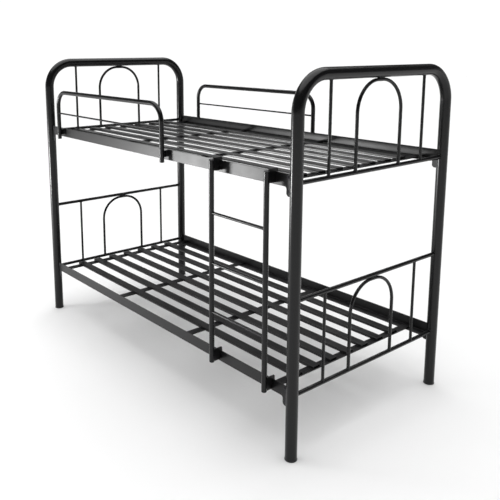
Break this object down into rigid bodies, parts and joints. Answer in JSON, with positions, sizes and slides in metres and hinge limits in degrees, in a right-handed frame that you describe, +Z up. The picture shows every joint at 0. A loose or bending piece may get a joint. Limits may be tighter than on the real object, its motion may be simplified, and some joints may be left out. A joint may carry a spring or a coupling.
{
  "type": "bunk bed with ladder",
  "caption": "Steel-tube bunk bed: hoop ends with arched infill, angle side rails, slatted decks, a guard along each side of the upper deck and a hook-on ladder.",
  "frame": {"origin": "on the floor, under the middle of the four posts", "axes": "+X along the bed towards the ladder's end, -Y towards the front where the ladder hangs, +Z up"},
  "size_m": [2.028, 1.029, 1.5055],
  "materials": {
    "end_hoops": "gloss black powder coat on 48 mm steel tube",
    "end_infill": "gloss black powder coat on thin steel tube",
    "side_rails": "gloss black powder coat on pressed steel angle",
    "slats": "satin black powder coat on folded steel strip",
    "deck_bars": "satin black powder coat on flat steel bar",
    "guards": "gloss black powder coat on steel tube and rod",
    "ladder": "gloss black powder coat on steel tube and plate"
  },
  "bodies": {
    "bed": {"front_guard_mid_rod": "guards", "front_guard_rail": "guards", "left_end_hoop": "end_hoops", "left_headboard_bar": "end_infill", "left_lower_arch": "end_infill", "left_lower_crossbar": "end_infill", "left_lower_spindle_front": "end_infill", "left_lower_spindle_rear": "end_infill", "left_upper_arch": "end_infill", "left_upper_crossbar": "end_infill", "left_upper_spindle_front": "end_infill", "left_upper_spindle_rear": "end_infill", "lower_cross_bearer_left": "deck_bars", "lower_cross_bearer_right": "deck_bars", "lower_end_bar_left": "deck_bars", "lower_end_bar_right": "deck_bars", "lower_front_rail": "side_rails", "lower_rear_rail": "side_rails", "lower_slat_1": "slats", "lower_slat_2": "slats", "lower_slat_3": "slats", "lower_slat_4": "slats", "lower_slat_5": "slats", "lower_slat_6": "slats", "lower_slat_7": "slats", "rear_guard_mid_rod": "guards", "rear_guard_rail": "guards", "right_end_hoop": "end_hoops", "right_headboard_bar": "end_infill", "right_lower_arch": "end_infill", "right_lower_crossbar": "end_infill", "right_lower_spindle_front": "end_infill", "right_lower_spindle_rear": "end_infill", "right_upper_arch": "end_infill", "right_upper_crossbar": "end_infill", "right_upper_spindle_front": "end_infill", "right_upper_spindle_rear": "end_infill", "upper_cross_bearer_left": "deck_bars", "upper_cross_bearer_right": "deck_bars", "upper_end_bar_left": "deck_bars", "upper_end_bar_right": "deck_bars", "upper_front_rail": "side_rails", "upper_rear_rail": "side_rails", "upper_slat_1": "slats", "upper_slat_2": "slats", "upper_slat_3": "slats", "upper_slat_4": "slats", "upper_slat_5": "slats", "upper_slat_6": "slats", "upper_slat_7": "slats"},
    "ladder": {"ladder_hook_lower_left": "ladder", "ladder_hook_lower_right": "ladder", "ladder_hook_upper_left": "ladder", "ladder_hook_upper_right": "ladder", "ladder_rung_1": "ladder", "ladder_rung_2": "ladder", "ladder_rung_3": "ladder", "ladder_stile_left": "ladder", "ladder_stile_right": "ladder"}
  },
  "joints": [
    {"name": "ladder_lift", "type": "slide", "parent": "bed", "child": "ladder", "axis": [0, 0, 1], "range_m": [0, 0.03]}
  ]
}
